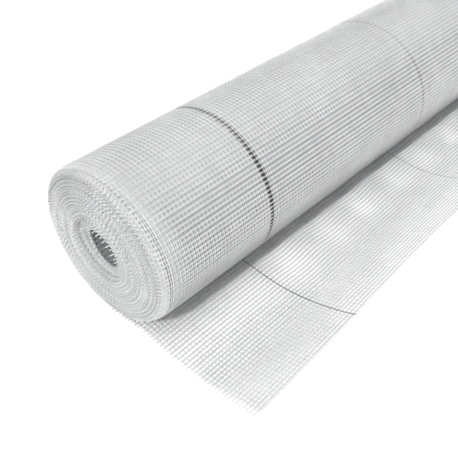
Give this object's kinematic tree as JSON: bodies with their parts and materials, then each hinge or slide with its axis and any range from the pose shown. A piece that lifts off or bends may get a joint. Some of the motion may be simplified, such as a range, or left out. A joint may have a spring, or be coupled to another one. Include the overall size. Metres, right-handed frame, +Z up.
{
  "type": "roll of fibreglass mesh",
  "caption": "Lying roll of open white fibreglass mesh, wound on itself around an open bore, with its free end drawn out flat beside it.",
  "frame": {"origin": "on the floor, below the roll's centre line and half way along the roll, on the flat underside of the fabric", "axes": "+X along the roll, from the end seen in the picture to the end that the picture cuts off; +Z up; the free end lies towards -Y"},
  "size_m": [1.0116, 0.2974, 0.175],
  "materials": {
    "mesh_roll": "satin coated yarn"
  },
  "bodies": {
    "root": {"mesh_roll": "mesh_roll"}
  },
  "joints": []
}
